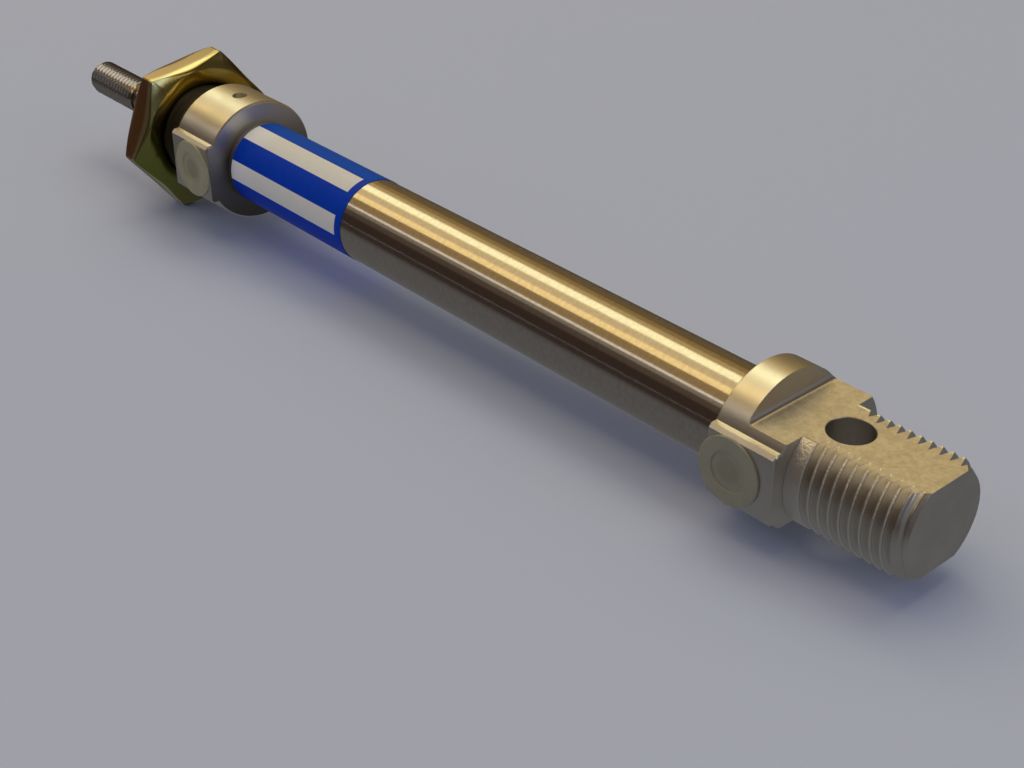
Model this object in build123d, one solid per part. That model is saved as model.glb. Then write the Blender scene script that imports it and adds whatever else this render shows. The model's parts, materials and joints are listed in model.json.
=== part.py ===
from build123d import *
import math
import os

# Round pneumatic cylinder: 12 mm bore, 80 mm stroke, double acting, with a
# magnet piston and rubber bumpers. Millimetres.
# +X runs along the axis to the rod end, +Y to the air ports, +Z up.
# The origin is the centre of the bore through the rear eye.

# Cylinder and stroke
bore = 12.0
barrel_wall = 0.65
stroke = 80.0
rod_dia = 6.0
rod_out_at_rest = 2.6
stop_gap = 0.3

# Fits
static_gap = 0.02
running_gap = 0.05
piston_gap = 0.25
axial_play = 0.1

# End caps
cap_dia = 20.0
cap_length = 10.5
boss_width = 10.0
boss_edge = 0.5
cap_edge = 0.25
spigot_length = 7.0
rear_port_to_face = 6.6
front_port_to_face = 6.0
port_dia = 4.2
port_depth = 5.0
port_drill_dia = 2.4
seat_edge = 0.3

# Threaded noses of the caps
nose_dia = 16.0
nose_length = 17.0
nose_edge = 1.15
nose_edge_length = 1.9

# Rear eye
eye_width = 12.0
eye_bore = 6.0
eye_edge = 0.1
eye_to_face = 3.0
eye_flat_length = 6.1
eye_fillet = 0.8
air_bore_dia = 5.0
air_bore_wall = 3.0

# Rolled ends that lock the barrel on the spigots
roll_length = 1.4
roll_depth = 0.3
roll_room = 0.25

# Static rings on the spigots
ring_section = 1.0
ring_sides = 6
ring_side_room = 0.4
ring_under_room = 0.01
ring_groove_from_face = 3.0

# Front cap inside
bush_wall = 1.155
bush_length = 12.0
bush_end_room = 0.6
gland_step = 1.1
wiper_length = 3.8
wiper_lip = 0.9
wiper_end_room = 0.2
retainer_length = 1.2
retainer_hole_room = 1.4
retainer_sink = 0.3
vent_dia = 2.4
vent_depth = 1.2
vent_to_face = 6.0

# Piston
magnet_length = 2.6
band_thickness = 0.98
piston_web = 0.6
piston_rim_length = 1.2
seal_groove_width = 2.4
seal_groove_depth = 1.35
seal_land = 0.6
seal_end_room = 0.3
seal_notch = 1.2
seal_heel_gap = 0.3
lip_thickness = 0.45
bumper_height = 1.0
bumper_seat = 0.4
bumper_rim = 0.25
bumper_width = 1.3

# Piston nut
stub_dia = 3.0
nut_flats = 5.5
nut_height = 1.8
nut_side_room = 0.2
nut_sink = 0.2

# Rod end
rod_thread_length = 16.0
rod_thread_edge = 0.9
rod_neck_length = 1.0
rod_neck_depth = 0.65
rod_beyond_nose = 5.0
rod_flat_depth = 0.5
rod_flats_length = 3.5

# Mounting nut
mount_nut_flats = 24.0
mount_nut_height = 6.0
mount_nut_from_face = 5.4
mount_nut_turn = -8.5
mount_nut_cone = 30.0
mount_nut_edge = 0.6

# Label
label_length = 30.2
label_thickness = 0.1
label_margin = 0.8

# Port plugs
plug_flange_dia = 9.4
plug_flange_height = 0.4
plug_edge = 0.15
plug_dish_dia = 5.4
plug_dish_depth = 0.2
plug_stem_room = 1.0
plug_stem_hole_dia = 2.4
plug_stem_hole_depth = 2.6

# Radii worked out from the sizes above
bore_r = bore / 2
barrel_r = bore_r + barrel_wall
cap_r = cap_dia / 2
rod_r = rod_dia / 2
spigot_r = bore_r - static_gap
piston_r = bore_r - piston_gap
seal_r = bore_r - running_gap
seal_root_r = piston_r - seal_groove_depth
magnet_r = seal_r - band_thickness - static_gap
bumper_r = piston_r - bumper_rim
stub_r = stub_dia / 2
nut_recess_r = nut_flats / math.sqrt(3) + nut_side_room
rod_room_r = rod_r + running_gap + bush_wall + static_gap
gland_r = rod_room_r + gland_step

# Places along the axis, from the rear eye to the rod's tip
nut_recess_depth = nut_height + nut_sink
rear_half_length = nut_recess_depth + piston_web + seal_groove_width + seal_land
front_half_length = seal_land + seal_groove_width + piston_rim_length
seal_length = seal_groove_width - seal_end_room
ring_groove_width = ring_section + ring_side_room
gland_length = wiper_length + wiper_lip + wiper_end_room + retainer_length + retainer_sink
plug_stem_length = port_depth - plug_stem_room
piston_length = rear_half_length + magnet_length + front_half_length
chamber_length = stroke + piston_length + 2 * bumper_height + 2 * stop_gap
rear_face_x = eye_to_face
rear_seat_x = rear_face_x + cap_length
rear_chamber_x = rear_seat_x + spigot_length
front_chamber_x = rear_chamber_x + chamber_length
front_seat_x = front_chamber_x + spigot_length
front_face_x = front_seat_x + cap_length
rear_tip_x = rear_face_x - nose_length
front_tip_x = front_face_x + nose_length
piston_x = rear_chamber_x + stop_gap + bumper_height + rod_out_at_rest
magnet_x = piston_x + rear_half_length
front_half_x = magnet_x + magnet_length
piston_end_x = front_half_x + front_half_length
rod_shoulder_x = front_tip_x + rod_beyond_nose + rod_out_at_rest
rod_tip_x = rod_shoulder_x + rod_thread_length
gland_x = front_tip_x - gland_length
bush_x = gland_x - bush_end_room - bush_length

os.makedirs("parts", exist_ok=True)


def turned(points):
    """Turn a closed outline of (x, radius) points about the cylinder's axis."""
    outline = make_face(Polyline(*[(x, r) for x, r in points], close=True))
    return revolve(outline, Axis.X)


def disc(x_start, x_end, radius, hole=0.0):
    """A plain disc or ring between two places on the axis."""
    return turned([(x_start, hole), (x_end, hole), (x_end, radius), (x_start, radius)])


def along_y(x, y_bottom, y_top, radius):
    """A round post that points to +Y."""
    post = Cylinder(radius, y_top - y_bottom, align=(Align.CENTER, Align.CENTER, Align.MIN))
    return Pos(x, y_bottom, 0) * Rot(-90, 0, 0) * post


def along_z(x, z_bottom, z_top, radius):
    """A round post that points up."""
    post = Cylinder(radius, z_top - z_bottom, align=(Align.CENTER, Align.CENTER, Align.MIN))
    return Pos(x, 0, z_bottom) * post


def save(shape, name):
    export_step(shape, f"parts/{name}.step")


# End caps, front and rear
def cap_blank(x_start):
    """The round body of a cap, with the flat boss that its port opens in."""
    section = Sketch() + Circle(cap_r)
    section += Pos(cap_r / 2, 0) * Rectangle(cap_r, boss_width)
    blank = Pos(x_start, 0, 0) * extrude(Plane.YZ * section, cap_length)
    long_edges = blank.edges().filter_by(Axis.X).group_by(Axis.Y)[-1]
    blank = chamfer(long_edges, boss_edge)
    return chamfer(blank.faces().filter_by(Axis.X).edges(), cap_edge)


def nose(x_face, x_tip):
    """A threaded nose at its outer diameter, with a long lead-in chamfer at its tip."""
    way = math.copysign(1, x_tip - x_face)
    r = nose_dia / 2
    return turned([
        (x_face, 0), (x_face, r), (x_tip - way * nose_edge_length, r),
        (x_tip, r - nose_edge), (x_tip, 0),
    ])


def spigot(x_seat, x_end):
    """The part of a cap inside the barrel: a rolled-in seat and a ring groove."""
    way = math.copysign(1, x_end - x_seat)
    seat_r = spigot_r - roll_depth
    groove_r = spigot_r - ring_section - ring_under_room
    groove_x = x_seat + way * ring_groove_from_face
    groove_end_x = groove_x + way * ring_groove_width
    return turned([
        (x_seat, 0), (x_seat, seat_r),
        (x_seat + way * roll_room, seat_r),
        (x_seat + way * (roll_length + roll_room), spigot_r),
        (groove_x, spigot_r), (groove_x, groove_r),
        (groove_end_x, groove_r), (groove_end_x, spigot_r),
        (x_end - way * seat_edge, spigot_r),
        (x_end, spigot_r - seat_edge), (x_end, 0),
    ])


def port_cut(x):
    """The port hole and the small drilling from it to the middle of the cap."""
    hole = along_y(x, cap_r - port_depth, cap_r + boss_edge, port_dia / 2)
    return hole + along_y(x, 0, cap_r, port_drill_dia / 2)


def eye_flat_cut(side):
    """What is milled off one side of the rear cap to leave a flat eye."""
    flat_x = rear_face_x + eye_flat_length
    z = side * eye_width / 2
    z_out = side * cap_dia
    turn = eye_fillet * (1 - math.sin(math.pi / 4))
    outline = make_face([
        Line((flat_x, z_out), (flat_x, z + side * eye_fillet)),
        ThreePointArc(
            (flat_x, z + side * eye_fillet),
            (flat_x - turn, z + side * turn),
            (flat_x - eye_fillet, z),
        ),
        Line((flat_x - eye_fillet, z), (rear_tip_x - nose_edge, z)),
        Line((rear_tip_x - nose_edge, z), (rear_tip_x - nose_edge, z_out)),
        Line((rear_tip_x - nose_edge, z_out), (flat_x, z_out)),
    ])
    return extrude(Plane.XZ * outline, cap_dia, both=True)


def make_rear_cap():
    port_x = rear_face_x + rear_port_to_face
    cap = cap_blank(rear_face_x) + nose(rear_face_x, rear_tip_x) + spigot(rear_seat_x, rear_chamber_x)
    cap -= eye_flat_cut(1)
    cap -= eye_flat_cut(-1)
    cap -= along_z(0, -eye_width, eye_width, eye_bore / 2)
    rims = cap.edges().filter_by(GeomType.CIRCLE).filter_by(
        lambda e: abs(e.arc_center.X) < 0.01 and abs(abs(e.arc_center.Z) - eye_width / 2) < 0.01)
    cap = chamfer(rims, eye_edge)
    air_x = eye_bore / 2 + air_bore_wall
    cap -= disc(air_x, rear_chamber_x, air_bore_dia / 2)
    return cap - port_cut(port_x)


def make_front_cap():
    port_x = front_face_x - front_port_to_face
    vent_x = front_face_x - vent_to_face
    cap = cap_blank(front_seat_x) + nose(front_face_x, front_tip_x) + spigot(front_seat_x, front_chamber_x)
    cap -= disc(front_chamber_x, gland_x, rod_room_r)
    cap -= disc(gland_x, front_tip_x, gland_r)
    cap -= along_z(vent_x, cap_r - vent_depth, cap_r + vent_depth, vent_dia / 2)
    return cap - port_cut(port_x)


# Barrel with its ends rolled into the caps
def make_barrel():
    start = rear_seat_x + static_gap
    end = front_seat_x - static_gap
    return turned([
        (start, bore_r - roll_depth), (start + roll_length, bore_r),
        (end - roll_length, bore_r), (end, bore_r - roll_depth),
        (end, barrel_r - roll_depth), (end - roll_length, barrel_r),
        (start + roll_length, barrel_r), (start, barrel_r - roll_depth),
    ])


def make_label():
    label_end_x = front_seat_x - label_margin
    inner = barrel_r + static_gap
    return disc(label_end_x - label_length, label_end_x, inner + label_thickness, inner)


def make_static_ring(x_seat, way):
    """A rubber ring in the spigot's groove, against the barrel's wall."""
    x = x_seat + way * (ring_groove_from_face + ring_groove_width / 2)
    r = spigot_r - ring_section / 2
    section = RegularPolygon(ring_section / 2, ring_sides, major_radius=False)
    section = Rot(0, 0, 90 - 180 / ring_sides) * section
    return revolve(Pos(x, r) * section, Axis.X)


# Rod guide at the front
def make_bush():
    return disc(bush_x, bush_x + bush_length, rod_room_r - static_gap, rod_r + running_gap)


def make_wiper():
    """The rod seal: a body in the gland and a lip that leans out on the rod."""
    start = gland_x + static_gap
    end = start + wiper_length
    outer = gland_r - static_gap
    inner = rod_r + running_gap
    return turned([
        (start, inner + lip_thickness), (start, outer), (end, outer),
        (end, inner + 2 * lip_thickness), (end - seal_notch, inner + 2 * lip_thickness),
        (end + wiper_lip, inner + lip_thickness), (end + wiper_lip, inner),
        (end - seal_notch, inner + lip_thickness),
        (start + seal_notch, inner + lip_thickness), (start + seal_notch / 2, inner),
    ])


def make_retainer():
    """The ring pressed into the nose's mouth that keeps the wiper in."""
    end = front_tip_x - retainer_sink
    hole = rod_r + retainer_hole_room
    return disc(end - retainer_length, end, gland_r - static_gap, hole)


# Piston, from the rear nut to the front bumper
def make_piston_rear():
    end = magnet_x
    groove_end = end - seal_land
    groove_x = groove_end - seal_groove_width
    body = turned([
        (piston_x, stub_r + static_gap), (end, stub_r + static_gap), (end, piston_r),
        (groove_end, piston_r), (groove_end, seal_root_r),
        (groove_x, seal_root_r), (groove_x, piston_r), (piston_x, piston_r),
    ])
    body -= disc(piston_x, piston_x + nut_recess_depth, nut_recess_r)
    return body - disc(piston_x, piston_x + bumper_seat, bumper_r, bumper_r - bumper_width)


def make_piston_front():
    groove_x = front_half_x + seal_land
    groove_end = groove_x + seal_groove_width
    body = turned([
        (front_half_x, stub_r + static_gap), (piston_end_x, stub_r + static_gap),
        (piston_end_x, piston_r), (groove_end, piston_r),
        (groove_end, seal_root_r), (groove_x, seal_root_r),
        (groove_x, piston_r), (front_half_x, piston_r),
    ])
    return body - disc(piston_end_x - bumper_seat, piston_end_x, bumper_r, bumper_r - bumper_width)


def make_magnet():
    return disc(magnet_x + axial_play, front_half_x - axial_play, magnet_r, stub_r + running_gap)


def make_guide_band():
    return disc(magnet_x + axial_play, front_half_x - axial_play, seal_r, magnet_r + static_gap)


def make_lip_seal(x_heel, way):
    """A cup seal: a heel towards the magnet and two lips towards the air."""
    inner = seal_root_r + running_gap
    heel_r = bore_r - seal_heel_gap
    tip = x_heel + way * seal_length
    notch = tip - way * seal_notch
    middle = (inner + heel_r) / 2
    return turned([
        (x_heel, inner), (x_heel, heel_r), (notch, heel_r), (tip, seal_r),
        (tip, seal_r - lip_thickness), (notch, middle),
        (tip, inner + lip_thickness / 2), (tip, inner),
    ])


def make_bumper(x_start, x_end):
    return disc(x_start, x_end, bumper_r - static_gap, bumper_r - bumper_width + static_gap)


def make_piston_nut():
    start = piston_x + nut_recess_depth - nut_height
    profile = Plane.YZ * RegularPolygon(nut_flats / 2, 6, major_radius=False)
    nut = Pos(start, 0, 0) * extrude(profile, nut_height)
    return nut - disc(start, start + nut_height, stub_r + static_gap)


def make_rod():
    """Rod with a stub through the piston, wrench flats, a neck and the end's thread."""
    stub_x = piston_x + nut_recess_depth - nut_height
    neck_r = rod_r - rod_neck_depth
    neck_end_x = rod_shoulder_x + rod_neck_length
    rod = turned([
        (stub_x, 0), (stub_x, stub_r), (piston_end_x, stub_r), (piston_end_x, rod_r),
        (rod_shoulder_x, rod_r), (rod_shoulder_x, neck_r), (neck_end_x, neck_r), (neck_end_x, rod_r),
        (rod_tip_x - rod_thread_edge, rod_r), (rod_tip_x, rod_r - rod_thread_edge), (rod_tip_x, 0),
    ])
    for side in (1, -1):
        flat = Box(rod_flats_length, rod_dia, rod_dia, align=(Align.MAX, Align.CENTER, Align.MIN))
        if side < 0:
            flat = Rot(180, 0, 0) * flat
        rod -= Pos(rod_shoulder_x, 0, side * (rod_r - rod_flat_depth)) * flat
    return rod


# Mounting nut on the front nose
def make_mounting_nut():
    start = front_face_x + mount_nut_from_face
    end = start + mount_nut_height
    hex_outline = Plane.YZ * Rot(0, 0, mount_nut_turn) * RegularPolygon(
        mount_nut_flats / 2, 6, major_radius=False)
    nut = Pos(start, 0, 0) * extrude(hex_outline, mount_nut_height)
    corner_r = mount_nut_flats / math.sqrt(3)
    flat_r = mount_nut_flats / 2
    fall = (corner_r - flat_r + mount_nut_edge / 2) * math.tan(math.radians(mount_nut_cone))
    rim_r = flat_r - mount_nut_edge / 2
    nut &= turned([
        (start, 0), (start, rim_r), (start + fall, corner_r),
        (end - fall, corner_r), (end, rim_r), (end, 0),
    ])
    hole_r = nose_dia / 2 + running_gap
    return nut - turned([
        (start, 0), (start, hole_r + mount_nut_edge), (start + mount_nut_edge, hole_r),
        (end - mount_nut_edge, hole_r), (end, hole_r + mount_nut_edge), (end, 0),
    ])


# Plugs that close the ports until the air lines are fitted
def make_port_plug(x):
    stem_r = port_dia / 2 - running_gap
    flange_top = cap_r + plug_flange_height
    flange = along_y(x, cap_r, flange_top, plug_flange_dia / 2)
    flange = chamfer(flange.edges().group_by(Axis.Y)[-1], plug_edge)
    plug = flange + along_y(x, cap_r - plug_stem_length, cap_r, stem_r)
    plug -= along_y(x, flange_top - plug_dish_depth, flange_top, plug_dish_dia / 2)
    stem_end = cap_r - plug_stem_length
    return plug - along_y(x, stem_end, stem_end + plug_stem_hole_depth, plug_stem_hole_dia / 2)


save(make_rear_cap(), "rear_cap")
save(make_front_cap(), "front_cap")
save(make_barrel(), "barrel_tube")
save(make_label(), "label_sleeve")
save(make_static_ring(rear_seat_x, 1), "rear_static_ring")
save(make_static_ring(front_seat_x, -1), "front_static_ring")
save(make_bush(), "rod_bush")
save(make_wiper(), "rod_wiper_seal")
save(make_retainer(), "wiper_retainer")
save(make_rod(), "piston_rod")
save(make_piston_rear(), "piston_rear_half")
save(make_piston_front(), "piston_front_half")
save(make_piston_nut(), "piston_nut")
save(make_bumper(piston_x - bumper_height, piston_x + bumper_seat), "rear_bumper")
save(make_bumper(piston_end_x - bumper_seat, piston_end_x + bumper_height), "front_bumper")
save(make_magnet(), "magnet_ring")
save(make_guide_band(), "guide_band")
save(make_lip_seal(magnet_x - seal_land - axial_play, -1), "rear_lip_seal")
save(make_lip_seal(front_half_x + seal_land + axial_play, 1), "front_lip_seal")
save(make_mounting_nut(), "mounting_nut")
save(make_port_plug(rear_face_x + rear_port_to_face), "rear_port_plug")
save(make_port_plug(front_face_x - front_port_to_face), "front_port_plug")
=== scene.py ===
"""Looks of a slim round air cylinder: rear eye, rolled steel barrel, label, nut and rod end.

Lengths are in metres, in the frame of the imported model: +X along the axis to the rod end,
+Y towards the air ports, +Z up, with the origin in the middle of the rear eye's bore.
"""
import json
import math

import bmesh
import bpy
import numpy as np
from mathutils import Matrix, Vector


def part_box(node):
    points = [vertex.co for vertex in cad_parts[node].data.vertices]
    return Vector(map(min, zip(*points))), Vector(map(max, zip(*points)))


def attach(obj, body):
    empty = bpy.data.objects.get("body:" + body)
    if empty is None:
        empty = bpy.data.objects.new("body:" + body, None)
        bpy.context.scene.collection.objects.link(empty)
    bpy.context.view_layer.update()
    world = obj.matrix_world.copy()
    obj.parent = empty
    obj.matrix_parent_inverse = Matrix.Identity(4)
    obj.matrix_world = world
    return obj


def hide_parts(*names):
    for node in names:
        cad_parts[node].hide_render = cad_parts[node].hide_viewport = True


MM = 0.001
TURN = 2 * math.pi

# Points nearer to each other than this are one
MERGE = 0.0005 * MM

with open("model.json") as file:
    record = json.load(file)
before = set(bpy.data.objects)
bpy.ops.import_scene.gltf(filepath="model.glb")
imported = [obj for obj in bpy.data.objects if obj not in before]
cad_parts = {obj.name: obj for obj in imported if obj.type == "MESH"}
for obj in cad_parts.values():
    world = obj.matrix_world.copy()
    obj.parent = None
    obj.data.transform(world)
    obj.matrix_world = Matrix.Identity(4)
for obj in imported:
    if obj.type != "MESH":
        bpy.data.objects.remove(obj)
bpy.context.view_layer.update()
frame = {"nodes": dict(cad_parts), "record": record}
mounts = {mount["name"]: mount for mount in frame["record"]["mounts"]}


# Places and sizes read from the frame
def low_high(node, axis=0):
    """The lowest and highest coordinate of a CAD node along one axis."""
    low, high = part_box(node)
    return low[axis], high[axis]


def thread_span(mount_name):
    """Root end, tip end and radius of a threaded length, from its mount."""
    mount = mounts[mount_name]
    middle = mount["pos_m"][0]
    way = mount["axis"][0]
    half = mount["dims"]["length_mm"] * MM / 2
    return middle - way * half, middle + way * half, mount["dims"]["r_mm"] * MM


rear_face_x, rear_tip_x, nose_r = thread_span("rear_nose_thread")
front_face_x, front_tip_x, _ = thread_span("front_nose_thread")
rod_thread_x, _, rod_r = thread_span("rod_end")
rod_tip_x = low_high("piston_rod")[1]
eye_r = mounts["rear_pivot"]["dims"]["r_mm"] * MM
eye_half = mounts["eye_top_face"]["pos_m"][2]
barrel_start_x, barrel_end_x = low_high("barrel_tube")
barrel_r = low_high("barrel_tube", 2)[1]
label_start_x, label_end_x = low_high("label_sleeve")
label_r = low_high("label_sleeve", 2)[1]

# Half of a thread's groove, in pitches: place from its middle, and height over its root
GROOVE = np.array([(0, 0), (0.023, 0), (0.057, 0.03), (0.42, 0.657), (0.46, 0.70), (0.5, 0.70)])
GROOVE_DEPTH = GROOVE[-1, 1]

# More places on the groove's flank, where the mesh has points
FLANK = (0.14, 0.24, 0.33)

# Threads: pitch, middle of a groove on the +Y side, plain stretch at the base, and the depth and
# length of the chamfer at the tip
NOSE_THREAD = {
    "pitch": 1.5 * MM, "phase": -1.4 * MM, "run_out": 2.1 * MM, "edge": (1.15 * MM, 1.9 * MM)}
ROD_THREAD = {
    "pitch": 1.0 * MM, "phase": rod_tip_x, "run_out": 0.0, "edge": (0.9 * MM, 0.9 * MM)}

# The nut's end faces reach this far out, and its cones fall this much for each step further out
NUT_RIM = 11.1 * MM
NUT_CONE = math.tan(math.radians(30))

# The nose is joined to its cap this far inside the cap's face, and the rod's thread to its neck
JOIN = 0.05 * MM


# Mesh pieces
def linked(name, data):
    """A new object of the scene, at the origin."""
    thing = bpy.data.objects.new(name, data)
    bpy.context.scene.collection.objects.link(thing)
    return thing


def new_piece(name, points, faces):
    """A mesh object from an array of points and one of faces with as many corners each."""
    mesh = bpy.data.meshes.new(name)
    mesh.from_pydata(points.tolist(), [], np.asarray(faces).tolist())
    mesh.update()
    return linked(name, mesh)


def grid_faces(rows, columns, close_rows=False, close_columns=True):
    """Quads between the rows and columns of a grid of points; a closed way joins its last to its first."""
    i, j = np.meshgrid(
        np.arange(rows if close_rows else rows - 1),
        np.arange(columns if close_columns else columns - 1),
        indexing="ij",
    )
    next_i = (i + 1) % rows
    next_j = (j + 1) % columns
    corners = [i * columns + j, i * columns + next_j, next_i * columns + next_j, next_i * columns + j]
    return np.stack(corners, -1).reshape(-1, 4)


def outward(piece):
    """Merge doubles and turn every face outwards."""
    work = bmesh.new()
    work.from_mesh(piece.data)
    bmesh.ops.remove_doubles(work, verts=work.verts, dist=MERGE)
    bmesh.ops.recalc_face_normals(work, faces=work.faces)
    work.to_mesh(piece.data)
    work.free()
    return piece


def smooth(piece, angle=32):
    """Smooth shading between sharp edges, led by the largest faces so that flat ones stay flat."""
    mesh = piece.data
    mesh.shade_smooth()
    mesh.set_sharp_from_angle(angle=math.radians(angle))
    lead = piece.modifiers.new("flat_faces_lead", "WEIGHTED_NORMAL")
    lead.keep_sharp = True
    return piece


def turned(name, profile, segments=128, axis="X", centre=(0, 0, 0)):
    """A closed profile of (place along the axis, radius) turned about an axis.

    Point = centre + place * axis + radius * (cos a, sin a) across it, for a = 0 to a full turn.
    """
    place, radius = np.array(profile).T
    angle = np.linspace(0, TURN, segments, endpoint=False)
    along = np.repeat(place[:, None], segments, 1)
    across_1 = radius[:, None] * np.cos(angle)
    across_2 = radius[:, None] * np.sin(angle)
    order = {
        "X": (along, across_1, across_2),
        "Y": (across_2, along, across_1),
        "Z": (across_1, across_2, along),
    }[axis]
    points = np.stack(order, -1).reshape(-1, 3) + np.array(centre)
    return outward(new_piece(name, points, grid_faces(len(place), segments, close_rows=True)))


def arc(centre, radius, start, end, count):
    """Points (place, radius) on an arc between two angles in degrees."""
    angle = np.radians(np.linspace(start, end, count))
    return list(zip(centre[0] + radius * np.cos(angle), centre[1] + radius * np.sin(angle)))


def threaded(name, base_x, tip_x, crest_r, inner, pitch, phase, run_out, edge):
    """A length of right-handed thread, from its base to its tip, closed by an inner profile.

    Along the bar, radius = crest - pitch * (depth - groove height) * room. The groove's height follows
    the distance to the nearest groove's middle, which lies at phase + pitch * (turn + angle / full turn),
    and room falls from 1 to 0 where that middle comes within run_out of the base. The tip's chamfer
    caps the radius. Each column's points shift with the helix, so the mesh follows crest and root.
    """
    steps_per_turn = 120
    fade = 0.3 * pitch
    low, high = sorted((base_x, tip_x))
    way = math.copysign(1, tip_x - base_x)
    half = np.unique(np.concatenate([GROOVE[:, 0], FLANK]))
    offset = np.concatenate([-half[:0:-1], half[:-1]])
    turns = np.arange(math.floor((low - phase) / pitch) - 1, math.ceil((high - phase) / pitch) + 2)
    angle = np.linspace(0, TURN, steps_per_turn + 1)
    middle = (turns[:, None] + offset).reshape(-1, 1)
    x = np.clip(phase + pitch * (middle + angle / TURN), low, high)
    along = (x - phase) / pitch - angle / TURN
    turn = np.round(along)
    height = np.interp(np.abs(along - turn), GROOVE[:, 0], GROOVE[:, 1])
    groove_x = phase + pitch * (turn + angle / TURN)
    room = np.clip(((groove_x - base_x) * way - run_out) / fade, 0, 1)
    chamfer = edge[0] * np.clip(1 - (tip_x - x) * way / edge[1], 0, 1)
    radius = np.minimum(crest_r - pitch * (GROOVE_DEPTH - height) * room, crest_r - chamfer)
    if way < 0:
        x, radius = x[::-1], radius[::-1]
    inner_x, inner_r = (np.repeat(np.array(part)[:, None], len(angle), 1) for part in zip(*inner))
    x = np.concatenate([x, inner_x])
    radius = np.concatenate([radius, inner_r])
    points = np.stack([x, radius * np.cos(angle), radius * np.sin(angle)], -1).reshape(-1, 3)
    faces = grid_faces(len(x), len(angle), close_rows=True, close_columns=False)
    return outward(new_piece(name, points, faces))


def merged_copy(node, name):
    """A copy of a CAD node with its loose triangles joined."""
    mesh = frame["nodes"][node].data.copy()
    mesh.name = name
    for layer in ("custom_normal", "sharp_face", "sharp_edge"):
        if layer in mesh.attributes:
            mesh.attributes.remove(mesh.attributes[layer])
    work = bmesh.new()
    work.from_mesh(mesh)
    bmesh.ops.remove_doubles(work, verts=work.verts, dist=MERGE)
    work.to_mesh(mesh)
    work.free()
    return linked(name, mesh)


def cut_off(piece, x, way):
    """The piece without what lies past a plane across the axis, closed there by a flat face."""
    work = bmesh.new()
    work.from_mesh(piece.data)
    every = work.verts[:] + work.edges[:] + work.faces[:]
    cut = bmesh.ops.bisect_plane(
        work, geom=every, plane_co=(x, 0, 0), plane_no=(way, 0, 0), clear_outer=True)
    rim = [item for item in cut["geom_cut"] if isinstance(item, bmesh.types.BMEdge)]
    bmesh.ops.triangle_fill(work, edges=rim, use_beauty=True, normal=(way, 0, 0))
    work.to_mesh(piece.data)
    work.free()
    return outward(piece)


def baked(piece):
    """The piece with its modifiers worked into its mesh."""
    graph = bpy.context.evaluated_depsgraph_get()
    mesh = bpy.data.meshes.new_from_object(piece.evaluated_get(graph))
    piece.modifiers.clear()
    piece.data = mesh
    return piece


def cut_by(piece, cutter):
    """The piece with the cutter's body taken away."""
    cut = piece.modifiers.new("cut", "BOOLEAN")
    cut.operation = "DIFFERENCE"
    cut.solver = "EXACT"
    cut.object = cutter
    baked(piece)
    bpy.data.objects.remove(cutter)
    return piece


def block(name, low, high):
    """A cutter box between two corners."""
    corner = np.array([(i, j, k) for i in (0, 1) for j in (0, 1) for k in (0, 1)])
    points = np.array(low) + corner * (np.array(high) - np.array(low))
    faces = [(0, 1, 3, 2), (4, 6, 7, 5), (0, 4, 5, 1), (2, 3, 7, 6), (0, 2, 6, 4), (1, 5, 7, 3)]
    return outward(new_piece(name, points, faces))


# Shader expressions
class Value:
    """A socket in a node tree. Arithmetic on it adds the Math node that works it out."""

    def __init__(self, shader, socket):
        self.shader = shader
        self.socket = socket

    def math(self, operation, *others):
        values = {index: item for index, item in enumerate((self,) + others)}
        return self.shader.node("ShaderNodeMath", {"operation": operation}, values)

    def __add__(self, other):
        return self.math("ADD", other)

    def __sub__(self, other):
        return self.math("SUBTRACT", other)

    def __rsub__(self, other):
        return (self * -1.0).math("ADD", other)

    def __mul__(self, other):
        return self.math("MULTIPLY", other)

    def __truediv__(self, other):
        return self.math("DIVIDE", other)

    def __pow__(self, other):
        return self.math("POWER", other)

    def __abs__(self):
        return self.math("ABSOLUTE")

    __radd__ = __add__
    __rmul__ = __mul__

    def above(self, limit, blur):
        """0 below a limit and 1 above it, with a soft step of the given width."""
        settings = {"interpolation_type": "SMOOTHSTEP"}
        sockets = {"Value": self, "From Min": limit - blur / 2, "From Max": limit + blur / 2}
        return self.shader.node("ShaderNodeMapRange", settings, sockets)

    def below(self, limit, blur):
        return 1 - self.above(limit, blur)

    def between(self, low, high, blur):
        return self.above(low, blur) * self.below(high, blur)


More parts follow.
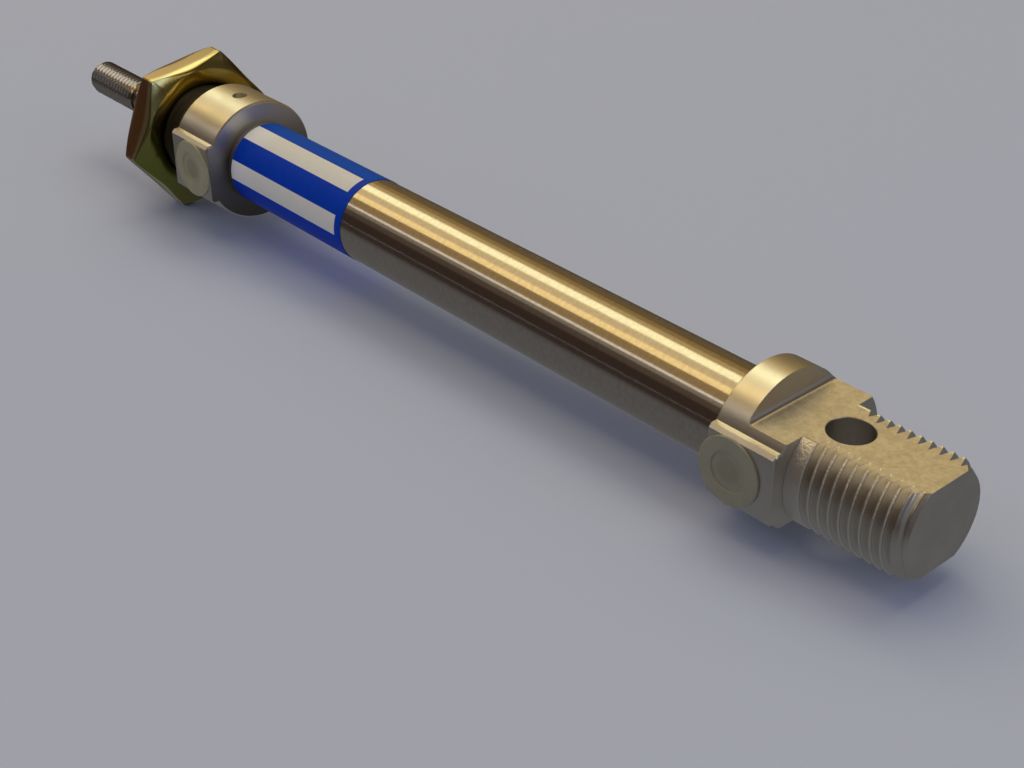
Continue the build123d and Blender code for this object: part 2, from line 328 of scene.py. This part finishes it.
class Shader:
    """A node tree, and the one place where its nodes are made."""

    def __init__(self, tree):
        self.tree = tree
        self.place = self.node("ShaderNodeTexCoord", {}, {}, "Object")
        self.x, self.y, self.z = self.parts(self.place)

    def feed(self, socket, item):
        if isinstance(item, Value):
            self.tree.links.new(item.socket, socket)
        elif isinstance(item, (tuple, list)) and len(item) == 3 and len(socket.default_value) == 4:
            socket.default_value = (*item, 1)
        else:
            socket.default_value = item

    def node(self, kind, settings, sockets, output=0):
        """Add a node with its settings, then feed its sockets; returns one of its outputs."""
        node = self.tree.nodes.new(kind)
        for name, item in settings.items():
            if name == "stops":
                for _ in range(len(item) - 2):
                    node.color_ramp.elements.new(0.5)
                for element, (position, color) in zip(node.color_ramp.elements, item):
                    element.position = position
                    element.color = (*color, 1)
            else:
                setattr(node, name, item)
        for name, item in sockets.items():
            self.feed(node.inputs[name], item)
        return Value(self, node.outputs[output])

    def parts(self, vector):
        """The x, y and z of a vector."""
        split = self.node("ShaderNodeSeparateXYZ", {}, {"Vector": vector})
        return [Value(self, socket) for socket in split.socket.node.outputs]

    def vector(self, x, y, z):
        return self.node("ShaderNodeCombineXYZ", {}, {"X": x, "Y": y, "Z": z})

    def noise(self, vector, scale, detail=2.0, roughness=0.5):
        """A soft random value about 0.5, as fine as the scale is high."""
        sockets = {"Vector": vector, "Scale": scale, "Detail": detail, "Roughness": roughness}
        return self.node("ShaderNodeTexNoise", {"noise_dimensions": "3D"}, sockets)

    def mixed(self, mask, first, second):
        """The first colour where the mask is 0 and the second where it is 1."""
        sockets = {0: mask, 6: first, 7: second}
        return self.node("ShaderNodeMix", {"data_type": "RGBA"}, sockets, 2)

    def layered(self, color, *layers):
        """A colour with others laid over it in turn, each given as its mask and its colour."""
        for mask, over in layers:
            color = self.mixed(mask, color, over)
        return color

    def ramp(self, value, *stops):
        """Colours that run into each other, each given as the value where it lies and the colour."""
        return self.node("ShaderNodeValToRGB", {"stops": stops}, {"Fac": value})

    def radius(self):
        """Distance from the cylinder's axis."""
        return (self.y ** 2 + self.z ** 2) ** 0.5

    def angle(self):
        """Angle about the cylinder's axis in radians, 0 at +Y and a quarter turn at +Z."""
        return self.z.math("ARCTAN2", self.y)


class Finish(Shader):
    """One material: its Principled shader, and the nodes that feed it."""

    def __init__(self, name, color, roughness, metallic=0.0, **fixed):
        self.material = bpy.data.materials.new(name)
        self.material.use_nodes = True
        self.material.diffuse_color = (*color, 1)
        super().__init__(self.material.node_tree)
        self.surface = self.tree.nodes["Principled BSDF"]
        self.set(**{"Base Color": color, "Roughness": roughness, "Metallic": metallic})
        self.set(**{key.replace("_", " "): value for key, value in fixed.items()})
        self.relief = None

    def set(self, **sockets):
        """Feed sockets of the surface shader, by value or by link."""
        for name, item in sockets.items():
            self.feed(self.surface.inputs[name], item)

    def bump(self, height, distance):
        """Raise the surface by height times distance in metres, over any relief so far."""
        sockets = {"Height": height, "Strength": 1.0, "Distance": distance}
        if self.relief is not None:
            sockets["Normal"] = self.relief
        self.relief = self.node("ShaderNodeBump", {}, sockets)
        self.set(Normal=self.relief)

    def on(self, piece):
        piece.data.materials.clear()
        piece.data.materials.append(self.material)
        return piece


def cap_aluminium():
    """Bare aluminium: turned all over, milled and blotched on the eye's flats, with burrs on its threads
    and a painted highlight on their crests.

    The face round the barrel's front end has painted shade, darker downwards with painted light at the
    top, and painted shade lies on the nose behind the nut.
    """
    finish = Finish("cap_aluminium", (0.74, 0.72, 0.68), 0.32, 1.0)
    radius = finish.radius()
    near = 0.05 * MM
    flat_end_x = 8.6 * MM
    cutter_r = 18 * MM
    nut_x = low_high("mounting_nut")[0]

    # Where each kind of surface lies
    flat = abs(finish.z).between(eye_half - near, eye_half + near, 0.02 * MM)
    flat = flat * finish.x.below(flat_end_x, 0.3 * MM)
    seat = finish.x.between(barrel_end_x - near, barrel_end_x + near, 0.02 * MM)
    on_noses = finish.x.below(rear_face_x, 0.1 * MM) + finish.x.above(front_face_x, 0.1 * MM)
    # Thread crests: burrs in the relief, and a painted highlight in the colour
    crest = radius.above(nose_r - 0.18 * MM, 0.16 * MM) * on_noses
    # Painted shade on the front nose between the cap's face and the nut
    nose_painted_shade = finish.x.between(front_face_x + 0.3 * MM, nut_x + 1.2 * MM, 0.5 * MM)
    nose_painted_shade = nose_painted_shade * radius.below(nose_r + 0.2 * MM, 0.2 * MM)

    # Rings of the lathe, arcs of the milling cutter across the flats, and burrs
    rings = finish.noise(finish.vector(finish.x, radius, 0.0), 9000.0, 3.0, 0.65)
    sweep = finish.x - (cutter_r ** 2 - finish.y ** 2) ** 0.5
    mill = finish.noise(finish.vector(sweep, finish.y * 0.02, 0.0), 5200.0, 2.0, 0.6)
    finish.bump(rings * (1 - flat) + mill * flat * 0.6, 0.010 * MM)
    finish.bump(finish.noise(finish.place, 3000.0, 3.0, 0.7) * crest, 0.12 * MM)

    patches = finish.noise(finish.place, 160.0, 3.0)
    blotches = finish.noise(finish.place, 900.0, 5.0, 0.75)
    lathed = finish.mixed(patches.above(0.5, 0.35), (0.82, 0.80, 0.75), (0.74, 0.72, 0.67))
    # Painted shade on the face round the barrel: darker downwards, with painted light at the top
    seat_painted_shade = finish.mixed(finish.z.above(-4 * MM, 12 * MM), (0.15, 0.145, 0.14), (0.38, 0.37, 0.37))
    seat_painted_shade = finish.mixed(finish.z.above(5 * MM, 8 * MM), seat_painted_shade, (0.88, 0.87, 0.85))
    milled = finish.mixed(blotches.above(0.5, 0.3), (0.83, 0.77, 0.69), (0.66, 0.60, 0.53))
    # Painted highlight on the thread crests
    crest_highlight = (0.96, 0.94, 0.90)
    # Colour of the painted shade on the nose
    nose_shade_color = (0.13, 0.11, 0.07)
    finish.set(**{
        "Base Color": finish.layered(
            lathed, (seat, seat_painted_shade), (flat, milled), (crest, crest_highlight), (nose_painted_shade, nose_shade_color)),
        "Roughness": 0.26 + patches * 0.10 + flat * 0.17 + seat * 0.22 + nose_painted_shade * 0.2,
    })
    return finish


def barrel_steel():
    """Drawn stainless tube: mirror-like along its length, with fine rings and a few specks."""
    finish = Finish("barrel_steel", (0.62, 0.57, 0.50), 0.12, 1.0)
    rings = finish.noise(finish.vector(finish.x, finish.angle() * 0.3 * MM, 0.0), 6000.0, 4.0, 0.7)
    specks = finish.noise(finish.vector(finish.x, finish.angle() * 4 * MM, 0.0), 1500.0, 3.0, 0.6)
    finish.bump(rings, 0.004 * MM)
    tint = finish.mixed(specks.above(0.5, 0.4), (0.65, 0.60, 0.53), (0.58, 0.53, 0.46))
    finish.set(**{"Base Color": tint, "Roughness": 0.08 + specks * 0.07})
    return finish


def label_film():
    """Blue printed film with two pale lengthwise fields, left bare, and a silver front margin.

    The blue is lighter past the top, a painted reflection, and the fields are whiter towards the front.
    """
    finish = Finish("label_film", (0.002, 0.045, 0.62), 0.4, 0.0, Specular_IOR_Level=0.07)
    degrees = finish.angle() * (360 / TURN)
    edge = 0.15 * MM
    field_start_x = label_start_x + 1.5 * MM
    margin_x = label_end_x - 0.8 * MM
    upper = degrees.between(56, 85, 0.8)
    lower = degrees.between(-6, 21.7, 0.8)
    fields = (upper + lower) * finish.x.above(field_start_x, edge)
    margin = finish.x.above(margin_x, edge)
    front = finish.x.above(label_end_x - 5 * MM, 6 * MM)
    wear_and_glint = finish.noise(finish.place, 900.0, 3.0)
    blue = finish.mixed(wear_and_glint, (0.001, 0.040, 0.48), (0.002, 0.058, 0.58))
    # Painted reflection: the blue turns lighter and greener past the top
    blue = finish.mixed(degrees.above(88, 14), blue, (0.001, 0.085, 0.56))
    pale = finish.mixed(wear_and_glint, (0.88, 0.855, 0.80), (0.80, 0.775, 0.73))
    pale = finish.mixed(front, pale, (0.95, 0.95, 0.96))
    silver = (0.30, 0.30, 0.34)
    finish.set(**{
        "Base Color": finish.layered(blue, (fields, pale), (margin, silver)),
        "Metallic": margin,
        "Roughness": 0.36 + wear_and_glint * 0.12,
    })
    finish.bump(finish.noise(finish.place, 700.0, 2.0), 0.006 * MM)
    return finish


def nut_zinc():
    """Yellow passivated zinc: olive to golden faces, tan and brown flats, painted shade round the hole and
    a painted glint on the rear edges.

    The colours follow the angle about the axis as a share of a full turn, a quarter at -Z, a half at
    +Y and three quarters at +Z, and a noise bends their borders. They are painted darker towards -Z,
    a painted shade, and carry a painted mint sheen between +Y and +Z.
    """
    finish = Finish("nut_zinc", (0.55, 0.45, 0.20), 0.25, 1.0)
    radius = finish.radius()
    cloud = finish.noise(finish.place, 140.0, 2.0)
    share = finish.angle() / TURN + 0.5 + (cloud - 0.5) * 0.08

    # Flats are what lies outside the rim and past the cones
    low, high = low_high("mounting_nut")
    middle = (low + high) / 2
    from_face = (high - low) / 2 - abs(finish.x - middle)
    past_cone = from_face - (radius - NUT_RIM) * NUT_CONE
    flats = radius.above(NUT_RIM + 0.5 * MM, 0.1 * MM) * past_cone.above(0.2 * MM, 0.2 * MM)
    # A painted glint on the rounded edges that face the rear
    wear_and_glint = past_cone.below(1.0 * MM, 0.7 * MM) * finish.x.below(middle, 1.0 * MM)
    gilt = share.above(0.60, 0.08) * radius.below(12.4 * MM, 1.0 * MM)
    # Painted shade on the rear face round the hole, next to the cap
    hole_painted_shade = radius.below(9.3 * MM, 1.8 * MM)

    # The zinc's olive and golden tint, painted darker towards -Z as painted shade, with a painted mint
    # sheen between +Y and +Z
    face = finish.ramp(
        share,
        (0.25, (0.20, 0.18, 0.07)), (0.36, (0.26, 0.27, 0.08)), (0.44, (0.28, 0.34, 0.07)),
        (0.55, (0.42, 0.40, 0.13)), (0.65, (0.66, 0.70, 0.42)), (0.73, (0.62, 0.66, 0.40)),
        (0.78, (0.56, 0.44, 0.15)),
    )
    golden = finish.mixed(radius.above(NUT_RIM, 0.3 * MM), (0.85, 0.62, 0.12), (0.30, 0.22, 0.06))
    # Colour of the painted shade round the hole
    hole_shade_color = (0.09, 0.075, 0.03)
    tan = finish.ramp(
        share,
        (0.35, (0.44, 0.42, 0.20)), (0.50, (0.55, 0.30, 0.13)), (0.61, (0.52, 0.28, 0.12)),
        (0.66, (0.50, 0.37, 0.22)), (0.80, (0.46, 0.37, 0.23)),
    )
    # The flats' rear edges take the painted glint's pale colour
    tan = finish.mixed(wear_and_glint, tan, (0.80, 0.76, 0.46))
    finish.set(**{
        "Base Color": finish.layered(face, (gilt, golden), (hole_painted_shade, hole_shade_color), (flats, tan)),
        "Roughness": 0.14 + flats * 0.10 + cloud * 0.08,
    })
    finish.bump(finish.noise(finish.place, 1500.0, 3.0), 0.003 * MM)
    return finish


def plug_plastic():
    """Milky grey-green plastic, the rear plug painted darker and the front lighter as painted light, and
    each plug's middle over its hollow stem painted darker as painted shade.
    """
    finish = Finish(
        "plug_plastic", (0.40, 0.37, 0.25), 0.45, 0.0,
        Subsurface_Weight=0.25, Subsurface_Radius=(0.6, 0.6, 0.45), Subsurface_Scale=0.6 * MM)
    cloud = finish.noise(finish.place, 500.0, 3.0)
    darker = finish.mixed(cloud, (0.37, 0.345, 0.245), (0.30, 0.28, 0.195))
    paler = finish.mixed(cloud, (0.47, 0.435, 0.285), (0.40, 0.37, 0.235))
    # Painted light: the rear plug is painted darker and the front one lighter, over a random cloud
    shade = finish.mixed(finish.x.above(70 * MM, 60 * MM), darker, paler)
    from_rear, from_front = (
        finish.x - sum(low_high(node)) / 2 for node in ("rear_port_plug", "front_port_plug"))
    from_middle = (abs(from_rear).math("MINIMUM", abs(from_front)) ** 2 + finish.z ** 2) ** 0.5
    stem_r = 1.7 * MM
    # Painted shade in each plug's middle, where the hollow stem lies behind the plastic
    hollow = from_middle.below(stem_r, 0.9 * MM) * 0.6
    finish.set(**{
        "Base Color": finish.mixed(hollow, shade, (0.24, 0.23, 0.155)),
        "Roughness": 0.38 + cloud * 0.15,
    })
    finish.bump(cloud, 0.008 * MM)
    return finish


def plain(name, color, roughness, metallic=0.0, grain=800.0, height=0.01 * MM):
    """A finish with a fine even grain: colour, roughness and relief all follow one noise."""
    finish = Finish(name, color, roughness, metallic)
    noise = finish.noise(finish.place, grain, 3.0)
    darker = tuple(0.82 * channel for channel in color)
    finish.set(**{
        "Base Color": finish.mixed(noise.above(0.5, 0.5), darker, color),
        "Roughness": roughness * 0.85 + noise * roughness * 0.3,
    })
    finish.bump(noise, height)
    return finish


# Pieces
def dress(piece, node, body):
    """Give a piece its finish, let it stand for a CAD node and move it with a body."""
    slot = slot_of[node]
    finishes[slot].on(piece)
    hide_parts(node)
    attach(piece, body)


def build_rear_cap():
    """The CAD body of the cap, with a threaded nose that is cut by the eye's flats and its bore.

    The bore's cutter widens by a cone past a small chamfer at each flat.
    """
    join_x = rear_face_x + JOIN
    body = smooth(cut_off(merged_copy("rear_cap", "rear_cap_body"), join_x, -1))
    dress(body, "rear_cap", "cylinder_body")
    solid = [(rear_tip_x, 0.0), (join_x, 0.0)]
    nose = threaded("rear_nose", join_x, rear_tip_x, nose_r, solid, **NOSE_THREAD)
    far = 2 * nose_r
    for side in (1, -1):
        z = sorted((side * eye_half, side * far))
        cut_by(nose, block("flat_cutter", (rear_tip_x - far, -far, z[0]), (join_x + far, far, z[1])))
    chamfer = 0.1 * MM
    past = 3 * MM
    bore = [
        (-eye_half - past, eye_r + chamfer + past), (-eye_half + chamfer, eye_r),
        (eye_half - chamfer, eye_r), (eye_half + past, eye_r + chamfer + past),
        (eye_half + past, 0.0), (-eye_half - past, 0.0),
    ]
    cut_by(nose, turned("bore_cutter", bore, 128, "Z"))
    dress(smooth(outward(nose)), "rear_cap", "cylinder_body")


def build_front_cap():
    """The CAD body of the cap, and a hollow threaded nose round the rod's seal."""
    join_x = front_face_x - JOIN
    body = smooth(cut_off(merged_copy("front_cap", "front_cap_body"), join_x, 1))
    dress(body, "front_cap", "cylinder_body")
    gland_x = low_high("rod_wiper_seal")[0]
    gland_r = low_high("wiper_retainer", 2)[1]
    room_r = low_high("rod_bush", 2)[1]
    hollow = [(front_tip_x, gland_r), (gland_x, gland_r), (gland_x, room_r), (join_x, room_r)]
    nose = threaded("front_nose", join_x, front_tip_x, nose_r, hollow, **NOSE_THREAD)
    dress(smooth(nose), "front_cap", "cylinder_body")


def build_rod():
    """The CAD rod up to its neck, and the threaded end."""
    join_x = rod_thread_x + JOIN
    body = smooth(cut_off(merged_copy("piston_rod", "rod_body"), join_x, 1))
    dress(body, "piston_rod", "rod")
    solid = [(rod_tip_x, 0.0), (join_x, 0.0)]
    end = threaded("rod_thread", join_x, rod_tip_x, rod_r, solid, **ROD_THREAD)
    dress(smooth(end), "piston_rod", "rod")


def build_barrel():
    """Tube wall with both ends rolled in, and small round end edges.

    Over the roll's length the outer radius falls by sink * (1 - cos(pi * s)) / 2, for s = 0 to 1.
    """
    wall = 0.65 * MM
    roll = 1.4 * MM
    sink = 0.3 * MM
    edge = 0.12 * MM
    start, end = barrel_start_x, barrel_end_x
    s = np.linspace(0, 1, 9)[:-1]
    fall = sink * (1 - np.cos(math.pi * s)) / 2
    half = list(zip(start + roll * (1 - s), barrel_r - fall))
    half += arc((start + edge, barrel_r - sink - edge), edge, 90, 180, 5)
    half += [(start, barrel_r - wall - sink), (start + roll, barrel_r - wall)]
    other = [(start + end - x, radius) for x, radius in reversed(half)]
    dress(smooth(turned("barrel", half + other, 144)), "barrel_tube", "cylinder_body")


def build_label():
    """Film wrapped round the barrel, with its last stretch lifted on to its first.

    The section is one film thick. Its inner radius stays the same for a full turn less the overlap,
    then rises by a film and a gap, as t * t * (3 - 2 * t) for t = 0 to 1, and then stays.
    """
    film = 0.045 * MM
    gap = 0.005 * MM
    inner_r = label_r - 2 * (film + gap)
    seam = math.radians(-150)
    overlap = math.radians(16)
    steps = 150
    angle = seam + np.linspace(0, TURN + overlap, steps)
    climb = np.clip((angle - seam - TURN + overlap) / overlap, 0, 1)
    lift = (film + gap) * climb * climb * (3 - 2 * climb)
    x = np.array([label_start_x, label_end_x, label_end_x, label_start_x])
    radius = inner_r + lift[:, None] + np.array([film, film, 0, 0])
    points = np.stack([
        np.broadcast_to(x, radius.shape),
        radius * np.cos(angle)[:, None],
        radius * np.sin(angle)[:, None],
    ], -1).reshape(-1, 3)
    first_end = np.arange(4)
    last_end = 4 * steps - 1 - first_end
    faces = np.concatenate([grid_faces(steps, 4), [first_end, last_end]])
    piece = outward(new_piece("label_wrap", points, faces))
    dress(smooth(piece), "label_sleeve", "cylinder_body")


def build_nut():
    """Hexagon nut with round corners, cut by two cones.

    A column's radius is that of the flat, flat_r / cos of the angle from the flat's middle, or past
    the corner's tangent that of its arc, d * cos a + root of (corner_r^2 - d^2 * sin^2 a), with a the
    angle from the corner and d the distance of the arc's centre. Each cone starts at the rim radius on
    the nut's face and meets the side over a quarter ellipse, edge_stretch times as long as it is high.
    The ellipse's height falls with the square of cos(3 * angle from the flat's middle) to a small
    share at the corners.
    """
    flat_r = 12 * MM
    corner_r = 0.6 * MM
    first_flat = math.radians(-8.5)
    hole_r = nose_r + 0.05 * MM
    hole_edge = 0.6 * MM
    edge_height = 0.8 * MM
    edge_stretch = 2.5
    corner_share = 0.1
    start, end = low_high("mounting_nut")
    sixth = TURN / 6
    centre_r = (flat_r - corner_r) / math.cos(sixth / 2)
    tangent = math.atan((flat_r - corner_r) * math.tan(sixth / 2) / flat_r)
    bend = np.concatenate([
        np.linspace(-tangent, tangent, 17),
        np.linspace(tangent, sixth - tangent, 9)[1:-1],
    ])
    from_corner = abs(bend - sixth / 2)
    arc_r = centre_r * np.cos(from_corner)
    arc_r += np.sqrt(np.maximum(corner_r ** 2 - (centre_r * np.sin(from_corner)) ** 2, 0))
    side_r = np.tile(np.where(abs(bend) <= tangent, flat_r / np.cos(bend), arc_r), 6)
    share = corner_share + (1 - corner_share) * np.cos(3 * bend) ** 2
    height = np.tile(edge_height * share, 6)
    fall = (side_r - height - NUT_RIM) * NUT_CONE
    angle = first_flat + sixth / 2 + np.repeat(np.arange(6), len(bend)) * sixth + np.tile(bend, 6)
    even = np.ones_like(angle)
    rows = [
        ((start + hole_edge) * even, hole_r * even),
        (start * even, (hole_r + hole_edge) * even),
        (start * even, NUT_RIM * even),
    ]
    for turn in np.linspace(0, TURN / 4, 6):
        x = start + fall + edge_stretch * height * (1 - math.cos(turn))
        rows.append((x, side_r - height * (1 - math.sin(turn))))
    rows += [(start + end - x, radius) for x, radius in reversed(rows)]
    x, radius = np.array(rows).transpose(1, 0, 2)
    points = np.stack([x, radius * np.cos(angle), radius * np.sin(angle)], -1).reshape(-1, 3)
    piece = outward(new_piece("nut_hex", points, grid_faces(len(rows), len(angle), close_rows=True)))
    dress(smooth(piece, 40), "mounting_nut", "nut")


def build_plug(node, body):
    """Port plug turned about the port's axis: hollow stem, thin round-edged flange, crowned dish.

    The crown's points are shares of the dish's depth and radius.
    """
    low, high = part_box(node)
    centre = ((low[0] + high[0]) / 2, 0, (low[2] + high[2]) / 2)
    flange_r = (high[0] - low[0]) / 2
    bottom, top = low[1], high[1]
    seat = top - 0.4 * MM
    stem_r = 2.05 * MM
    stem_edge = (0.3 * MM, 0.1 * MM)
    hole_r = 1.2 * MM
    hole_top = bottom + 2.6 * MM
    edge = 0.2 * MM
    dish_r = 2.7 * MM
    dish = 0.2 * MM
    lip = 0.12 * MM
    soft = 0.05 * MM
    crown = ((1, 0.75), (0.45, 0.6), (0.4, 0))
    profile = [(hole_top, 0.0), (hole_top, hole_r), (bottom, hole_r)]
    profile += [(bottom, stem_r - stem_edge[1]), (bottom + stem_edge[0], stem_r), (seat, stem_r)]
    profile += [(seat, flange_r - soft)]
    profile += arc((top - edge, flange_r - edge), edge, 90, 0, 6)
    profile += arc((top - lip, dish_r + lip), lip, 0, -90, 5)
    profile += [(top - dish, dish_r - soft)]
    profile += [(top - depth * dish, share * dish_r) for depth, share in crown]
    piece = turned(node + "_moulded", profile, 96, "Y", centre)
    dress(smooth(piece), node, body)


# Stage, lamps and camera

# Strip lamps: first and last angle about the axis in degrees, and radiance
STRIPS = (
    ("strip_horizon", 22, 34, (0.05, 0.04, 0.03)),
    ("strip_low", 35, 43, (0.20, 0.18, 0.14)),
    ("strip_thin", 44, 49.5, (0.98, 0.88, 0.74)),
    ("strip_near", 50, 68, (0.30, 0.205, 0.085)),
    ("strip_gold", 69, 84, (1.34, 1.01, 0.46)),
    ("strip_top", 84, 103, (0.78, 0.62, 0.33)),
    ("strip_key", 103, 123, (1.58, 1.46, 0.88)),
    ("strip_far", 123, 137, (0.54, 0.39, 0.16)),
    ("strip_far_low", 137, 152, (0.29, 0.19, 0.06)),
    ("strip_back", 152, 178, (0.13, 0.09, 0.03)),
)


def floor_height():
    """The plane that touches the nut's lowest corner and the rear cap: its height as a function of x."""
    def points_of(node):
        mesh = frame["nodes"][node].data
        flat = np.zeros(len(mesh.vertices) * 3)
        mesh.vertices.foreach_get("co", flat)
        return flat.reshape(-1, 3)

    nut, cap = points_of("mounting_nut"), points_of("rear_cap")
    corner = nut[np.lexsort((nut[:, 0], np.round(nut[:, 2], 6)))[0]]
    fall = ((cap[:, 2] - corner[2]) / (corner[0] - cap[:, 0])).min()
    return lambda x: corner[2] - fall * (x - corner[0])


def sheet(name, x, y, lift, finish):
    """A flat sheet of the stage, between two places along x and y, lifted off the floor."""
    x = np.array([x[0], x[1], x[1], x[0]])
    y = np.array([y[0], y[0], y[1], y[1]])
    piece = new_piece(name, np.stack([x, y, floor_height()(x) + lift], -1), [[0, 1, 2, 3]])
    finish.on(piece)
    return piece


def build_floor():
    """A pale floor, and a dim glowing sheet just over it that only reflections see: a painted reflection
    of a floor in shade.
    """
    sheet("floor", (-4, 4), (-4, 4), 0, Finish("floor_paper", (0.56, 0.62, 0.85), 0.75))
    # Glows in reflections only, a painted reflection of shaded floor, darker further out and brown behind
    # the barrel
    dim = Finish("dim_sheet", (0, 0, 0), 1.0, Specular_IOR_Level=0.0, Emission_Strength=1.0)
    near = dim.mixed(dim.y.above(45 * MM, 40 * MM), (0.12, 0.12, 0.125), (0.05, 0.035, 0.03))
    behind_barrel = dim.y.below(-12 * MM, 8 * MM) * dim.x.above(0, 8 * MM)
    dim.set(**{"Emission Color": dim.mixed(behind_barrel, near, (0.11, 0.085, 0.05))})
    below = sheet("dim_sheet", (-0.8, 1.5), (-0.8, 0.8), 0.3 * MM, dim)
    below.visible_camera = False
    below.visible_diffuse = False
    below.visible_shadow = False


def area_lamp(name, sides, radiance, middle, turn):
    """A soft rectangle of even radiance that shines along its own -Z."""
    level = max(radiance)
    data = bpy.data.lights.new(name, "AREA")
    data.shape = "RECTANGLE"
    data.size, data.size_y = sides
    data.energy = level * math.pi * sides[0] * sides[1]
    data.color = [channel / level for channel in radiance]
    linked(name, data).matrix_world = Matrix.Translation(middle) @ turn.to_4x4()


def strip_lamp(name, start, end, radiance):
    """A long soft strip parallel to the axis, between two angles about it in degrees."""
    distance = 3.0
    first_x = -0.4
    last_x = 5.7
    angle = math.radians((start + end) / 2)
    inward = Vector((0, -math.cos(angle), -math.sin(angle)))
    width = 2 * distance * math.tan(math.radians(end - start) / 2)
    x_axis = Vector((1, 0, 0))
    turn = Matrix((x_axis, (-inward).cross(x_axis), -inward)).transposed()
    middle = Vector(((first_x + last_x) / 2, 0, 0)) - distance * inward
    area_lamp(name, (last_x - first_x, width), radiance, middle, turn)


def window_lamp():
    """A soft square past the rear end, which the nut's rear cone and the rod's thread reflect."""
    inward = Vector((0.83, 0.10, -0.50)).normalized()
    distance = 1.5
    side = 0.72
    middle = Vector((low_high("mounting_nut")[0], 0, 0)) - distance * inward
    turn = inward.to_track_quat("-Z", "Y").to_matrix()
    area_lamp("window", (side, side), (0.85, 0.816, 0.7395), middle, turn)


def build_world():
    """Pale to the camera, dim and brown to polished metal, and a cool fill for what is matt."""
    world = bpy.data.worlds.new("studio")
    bpy.context.scene.world = world
    world.use_nodes = True
    shader = Shader(world.node_tree)
    matt = shader.node("ShaderNodeLightPath", {}, {}, "Is Diffuse Ray")
    ends = shader.mixed(shader.x.below(-0.6, 0.3), (0.045, 0.030, 0.024), (0.14, 0.14, 0.15))
    color = shader.mixed(matt, ends, (0.17, 0.20, 0.26))
    seen = shader.node("ShaderNodeLightPath", {}, {}, "Is Camera Ray")
    color = shader.mixed(seen, color, (0.33, 0.33, 0.365))
    shader.feed(world.node_tree.nodes["Background"].inputs["Color"], color)


def build_camera():
    """The photograph's viewpoint, 20 cm from the rear eye, looking along the barrel."""
    viewpoint = Vector((-0.09622, 0.13868, 0.11316))
    aim = Vector((0.03120, 0.02543, 0.00858))
    roll = math.radians(-0.107)
    data = bpy.data.cameras.new("camera")
    data.sensor_width = 36
    data.lens = 58.81
    data.clip_start = 0.01
    data.clip_end = 20
    camera = linked("camera", data)
    turn = (aim - viewpoint).to_track_quat("-Z", "Y").to_matrix().to_4x4()
    camera.matrix_world = Matrix.Translation(viewpoint) @ turn @ Matrix.Rotation(roll, 4, "Z")
    bpy.context.scene.camera = camera


finishes = {
    "cap_aluminium": cap_aluminium(),
    "barrel_steel": barrel_steel(),
    "label_film": label_film(),
    "nut_zinc": nut_zinc(),
    "plug_plastic": plug_plastic(),
    "seal_rubber": plain("seal_rubber", (0.03, 0.03, 0.03), 0.6),
    "bush_bronze": plain("bush_bronze", (0.55, 0.36, 0.16), 0.4, 1.0),
    "rod_steel": plain("rod_steel", (0.60, 0.55, 0.48), 0.16, 1.0, 2000.0, 0.003 * MM),
    "piston_aluminium": plain("piston_aluminium", (0.7, 0.7, 0.7), 0.35, 1.0),
    "magnet": plain("magnet", (0.1, 0.1, 0.1), 0.5, 0.4),
    "band_plastic": plain("band_plastic", (0.7, 0.68, 0.62), 0.5),
}
slot_of = {part["node"]: part["material_slot"] for part in frame["record"]["subparts"]}
for node, piece in frame["nodes"].items():
    finishes[slot_of[node]].on(piece)

build_rear_cap()
build_front_cap()
build_rod()
build_barrel()
build_label()
build_nut()
build_plug("rear_port_plug", "rear_plug")
build_plug("front_port_plug", "front_plug")

build_floor()
for name, start, end, radiance in STRIPS:
    strip_lamp(name, start, end, radiance)
window_lamp()
build_world()
build_camera()
bpy.context.scene.view_settings.view_transform = "Standard"
